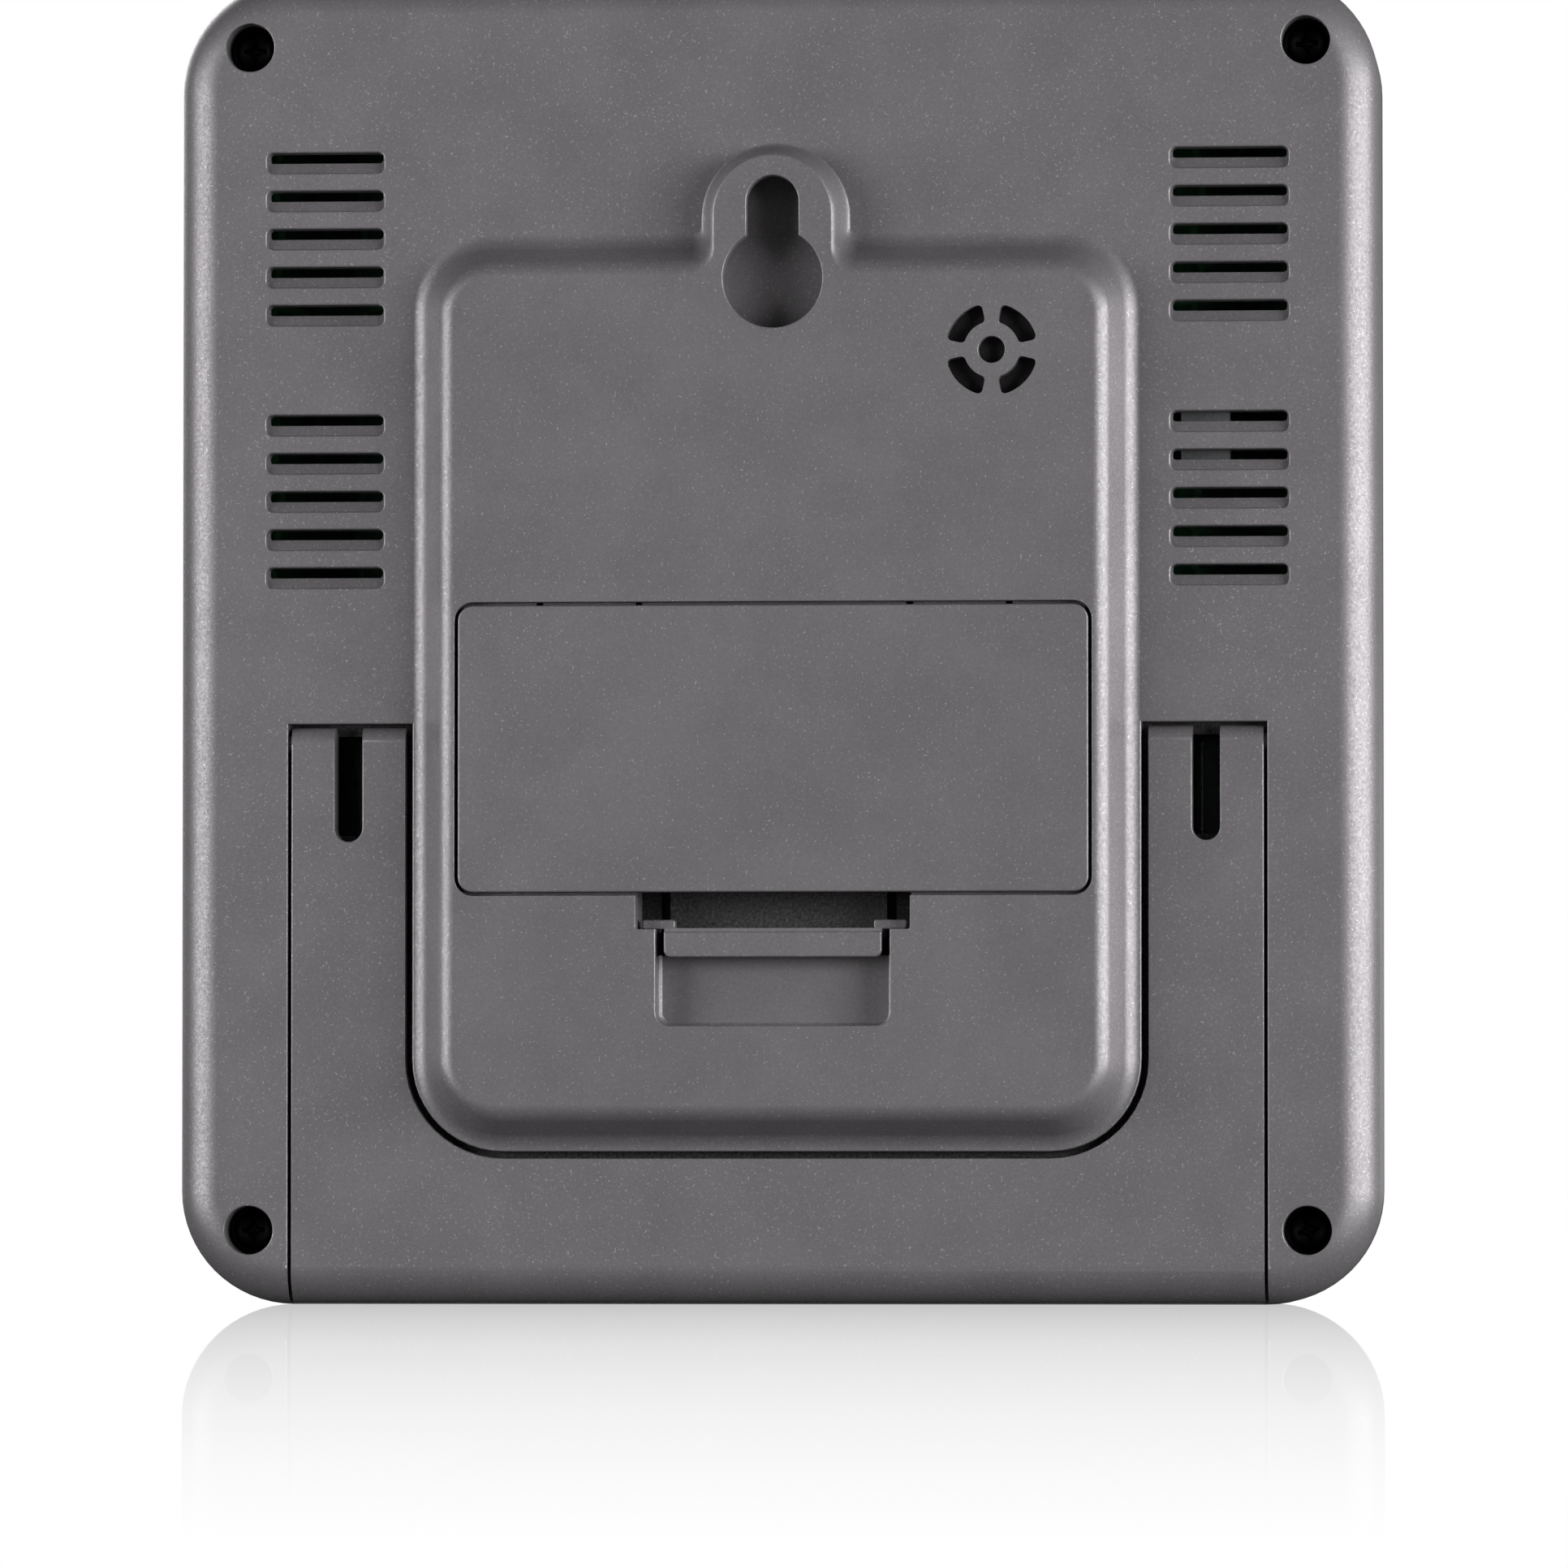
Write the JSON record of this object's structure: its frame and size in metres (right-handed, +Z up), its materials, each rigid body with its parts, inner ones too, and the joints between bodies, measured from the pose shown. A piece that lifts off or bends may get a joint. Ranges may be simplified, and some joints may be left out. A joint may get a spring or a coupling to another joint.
{
  "type": "digital wall and desk clock",
  "caption": "Battery-powered digital wall and desk clock with keyhole, fold-out rear stand, battery door, buzzer grille and sensor vents.",
  "frame": {"origin": "middle of the base: centre of the outline seen from above, at the lowest point", "axes": "+Z up, -Y out of the display, +Y out of the back with its stand and battery door, +X to the right for someone who looks at the display"},
  "size_m": [0.104, 0.022, 0.1152],
  "materials": {
    "grey_plastic": "fine spark-eroded grey with a faint metallic speckle",
    "bezel_plastic": "the same grey as the back shell",
    "clear_window": "clear polished acrylic",
    "lcd_glass": "grey-green reflective display glass",
    "zebra_rubber": "soft striped connector rubber",
    "light_guide": "frosted clear plastic",
    "led_body": "white lamp body",
    "board_laminate": "green solder mask",
    "chip_resin": "black potting resin",
    "nickel_steel": "nickel-plated spring steel",
    "black_screw": "black oxide",
    "black_plastic": "matt black",
    "sensor_body": "pale grey moulded",
    "cell_jacket": "plain dark sleeve",
    "red_sleeve": "red insulation",
    "key_plastic": "satin grey",
    "plunger_plastic": "matt black",
    "switch_body": "matt black"
  },
  "bodies": {
    "root": {"rear_cover": "grey_plastic", "front_bezel": "bezel_plastic", "display_window": "clear_window", "battery_cell_1": "cell_jacket", "battery_cell_2": "cell_jacket", "battery_bridge_contact": "nickel_steel", "battery_positive_contact": "nickel_steel", "battery_negative_contact": "nickel_steel", "battery_lead_red": "red_sleeve", "battery_lead_black": "black_plastic", "buzzer": "black_plastic", "buzzer_lead_red": "red_sleeve", "buzzer_lead_black": "black_plastic", "lcd_panel": "lcd_glass", "zebra_strip": "zebra_rubber", "backlight_guide": "light_guide", "backlight_led": "led_body", "main_board": "board_laminate", "controller_chip": "chip_resin", "clock_crystal": "nickel_steel", "climate_sensor": "sensor_body", "housing_screw_1": "black_screw", "board_screw_1": "nickel_steel", "housing_screw_2": "black_screw", "board_screw_2": "nickel_steel", "housing_screw_3": "black_screw", "board_screw_3": "nickel_steel", "housing_screw_4": "black_screw", "board_screw_4": "nickel_steel", "key_switch_1": "switch_body", "key_switch_2": "switch_body", "key_switch_3": "switch_body", "key_switch_4": "switch_body", "key_switch_5": "switch_body"},
    "stand": {"kickstand": "grey_plastic"},
    "door": {"battery_door": "grey_plastic"},
    "latch": {"battery_door_latch": "grey_plastic"},
    "key_1": {"key_cap_1": "key_plastic", "key_plunger_1": "plunger_plastic"},
    "key_2": {"key_cap_2": "key_plastic", "key_plunger_2": "plunger_plastic"},
    "key_3": {"key_cap_3": "key_plastic", "key_plunger_3": "plunger_plastic"},
    "key_4": {"key_cap_4": "key_plastic", "key_plunger_4": "plunger_plastic"},
    "key_5": {"key_cap_5": "key_plastic", "key_plunger_5": "plunger_plastic"}
  },
  "joints": [
    {"name": "stand_hinge", "type": "hinge", "parent": "root", "child": "stand", "pos_m": [0, 0.0056, 0.0485], "axis": [1, 0, 0], "range_deg": [0, 45]},
    {"name": "door_hinge", "type": "hinge", "parent": "root", "child": "door", "pos_m": [0, 0.011, 0.06035], "axis": [1, 0, 0], "range_deg": [0, 70]},
    {"name": "latch_flex", "type": "hinge", "parent": "door", "child": "latch", "pos_m": [0, 0.0039, 0.0361], "axis": [1, 0, 0], "range_deg": [0, 10], "stiffness_Nm_per_rad": 0.12},
    {"name": "key_1_press", "type": "slide", "parent": "root", "child": "key_1", "axis": [0, 1, 0], "range_m": [0, 0.0005], "stiffness_N_per_m": 1200},
    {"name": "key_2_press", "type": "slide", "parent": "root", "child": "key_2", "axis": [0, 1, 0], "range_m": [0, 0.0005], "stiffness_N_per_m": 1200},
    {"name": "key_3_press", "type": "slide", "parent": "root", "child": "key_3", "axis": [0, 1, 0], "range_m": [0, 0.0005], "stiffness_N_per_m": 1200},
    {"name": "key_4_press", "type": "slide", "parent": "root", "child": "key_4", "axis": [0, 1, 0], "range_m": [0, 0.0005], "stiffness_N_per_m": 1200},
    {"name": "key_5_press", "type": "slide", "parent": "root", "child": "key_5", "axis": [0, 1, 0], "range_m": [0, 0.0005], "stiffness_N_per_m": 1200}
  ]
}
